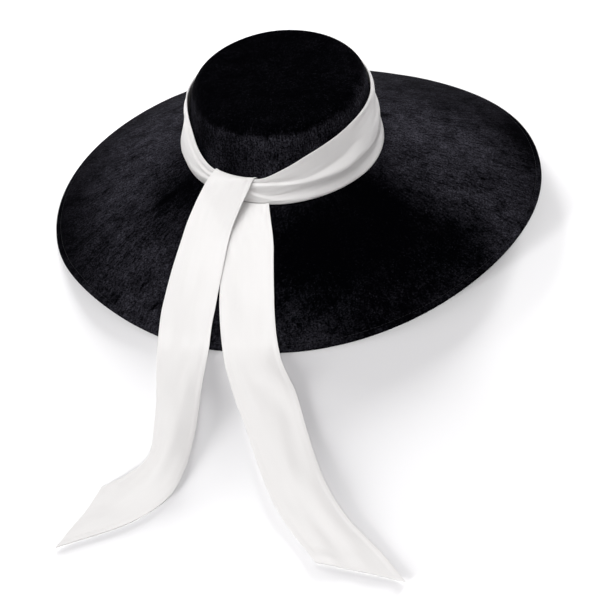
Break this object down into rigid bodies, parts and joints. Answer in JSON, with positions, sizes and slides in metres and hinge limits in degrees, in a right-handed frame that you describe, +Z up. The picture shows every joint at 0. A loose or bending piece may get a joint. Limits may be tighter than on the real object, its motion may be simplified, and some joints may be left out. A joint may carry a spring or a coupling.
{
  "type": "wide-brim hat with a scarf band",
  "caption": "Wide sloping-brim velvet hat with a low oval crown and a pleated satin scarf wrapped round it, the scarf's pointed tails laid out over the brim and the floor.",
  "frame": {"origin": "middle of the base of the whole object's box, on the surface that the hat lies on", "axes": "+Z up through the crown; -Y towards the front, where the scarf is gathered and its tails run out; +X to the right seen from the front"},
  "size_m": [0.4486, 0.7618, 0.1265],
  "materials": {
    "crown_velvet": "black velvet over felt, soft short nap",
    "brim_velvet": "black velvet over felt, brushed in patches, stitched near the rim",
    "wrap_satin": "white satin, soft sheen, pleated",
    "tail_satin": "white satin, soft sheen, doubled with turned edges"
  },
  "bodies": {
    "root": {"crown": "crown_velvet", "brim": "brim_velvet", "scarf_wrap": "wrap_satin", "scarf_tail_left": "tail_satin", "scarf_tail_right": "tail_satin"}
  },
  "joints": []
}
